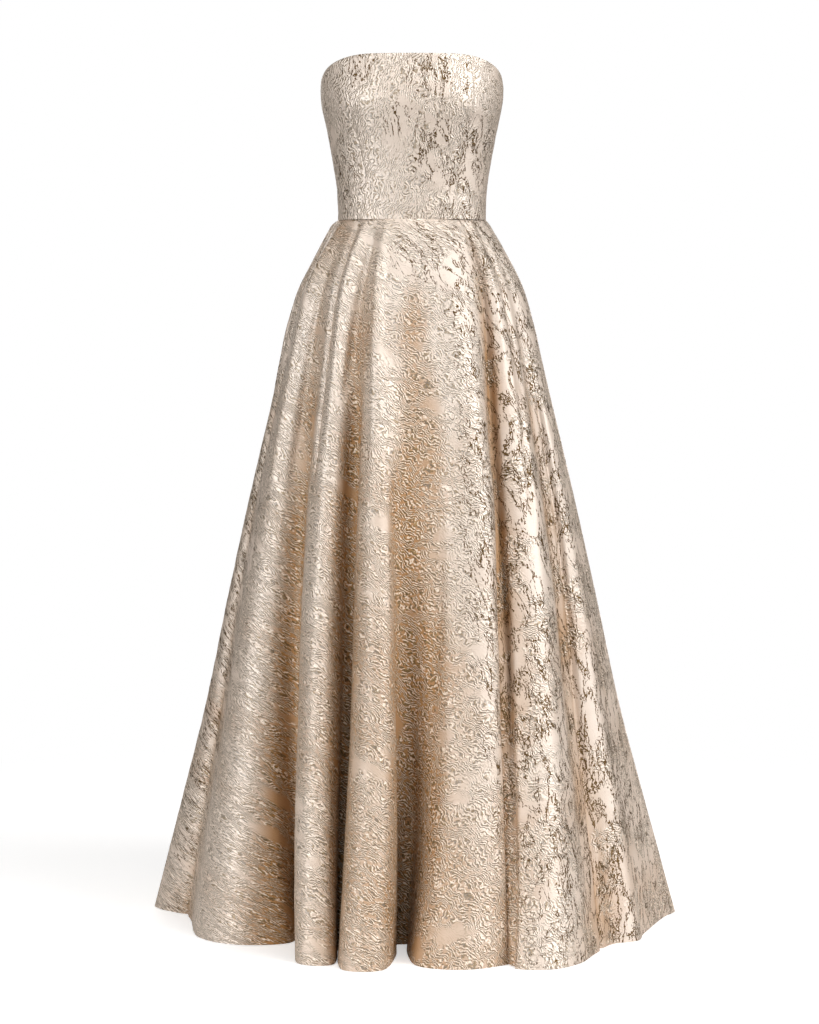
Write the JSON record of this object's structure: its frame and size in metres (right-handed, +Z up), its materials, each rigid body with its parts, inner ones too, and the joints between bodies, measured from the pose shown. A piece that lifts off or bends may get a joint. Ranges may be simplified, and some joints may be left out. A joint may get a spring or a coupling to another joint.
{
  "type": "fit-and-flare gown",
  "caption": "Strapless floor-length gown, hollow as when worn: a princess-seamed bodice on a flared skirt in soft tubular folds, with a concealed back zip.",
  "frame": {"origin": "centre of the waist, level with the waist seam, where the wearer holds the gown up", "axes": "+Z up along the gown's length, -Y out of the front, +X towards the wearer's left"},
  "size_m": [0.88, 0.866, 1.419],
  "materials": {
    "brocade": "champagne satin brocade with raised golden crinkled lines, soft metallic sheen",
    "zip_metal": "pale polished brass"
  },
  "bodies": {
    "gown": {"bodice_centre_front": "brocade", "bodice_side_front_left": "brocade", "bodice_side_front_right": "brocade", "bodice_side_back_left": "brocade", "bodice_side_back_right": "brocade", "bodice_back_left": "brocade", "bodice_back_right": "brocade", "skirt_front": "brocade", "skirt_back_left": "brocade", "skirt_back_right": "brocade", "zip_slider": "zip_metal"},
    "zip_pull": {"zip_pull": "zip_metal"}
  },
  "joints": [
    {"name": "zip_pull_swing", "type": "hinge", "parent": "gown", "child": "zip_pull", "pos_m": [0, 0.1026, 0.1885], "axis": [1, 0, 0], "range_deg": [0, 150]}
  ]
}
